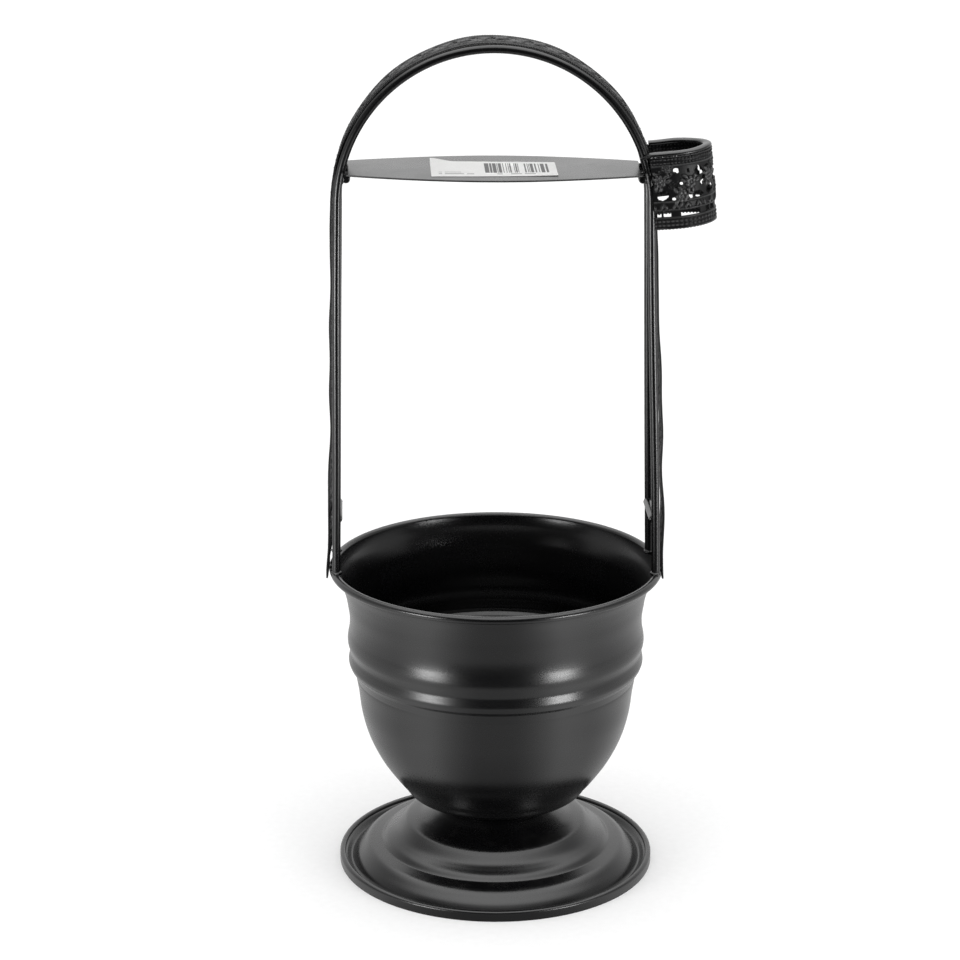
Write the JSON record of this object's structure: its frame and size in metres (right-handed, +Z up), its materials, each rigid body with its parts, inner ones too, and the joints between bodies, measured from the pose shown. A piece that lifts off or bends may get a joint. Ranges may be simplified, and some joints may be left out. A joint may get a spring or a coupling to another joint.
{
  "type": "florist bucket",
  "caption": "Black footed metal urn bucket with a tall two-rod arch handle, openwork ribbon trim, a tray across the handle and a small side holder.",
  "frame": {"origin": "bottom centre of the whole object's bounding box, on the floor; the urn's axis stands 13.2 mm to its -X side", "axes": "+Z up through the urn's axis; +X to the side that carries the small holder; the handle's arch lies in the XZ plane"},
  "size_m": [0.2292, 0.2, 0.506],
  "materials": {
    "satin_paint": "satin black paint on smooth sheet and rod",
    "stamped_paint": "matt black paint on stamped openwork strip",
    "label_paper": "white paper sticker"
  },
  "bodies": {
    "root": {"bowl": "satin_paint", "pedestal": "satin_paint", "handle_rod_front": "satin_paint", "handle_rod_back": "satin_paint", "handle_ribbon": "stamped_paint", "lower_brace_left": "satin_paint", "lower_brace_right": "satin_paint", "tray_bar_left": "satin_paint", "tray_bar_right": "satin_paint", "tray": "satin_paint", "tray_label": "label_paper", "cup_band": "stamped_paint", "cup_ring": "satin_paint"}
  },
  "joints": []
}
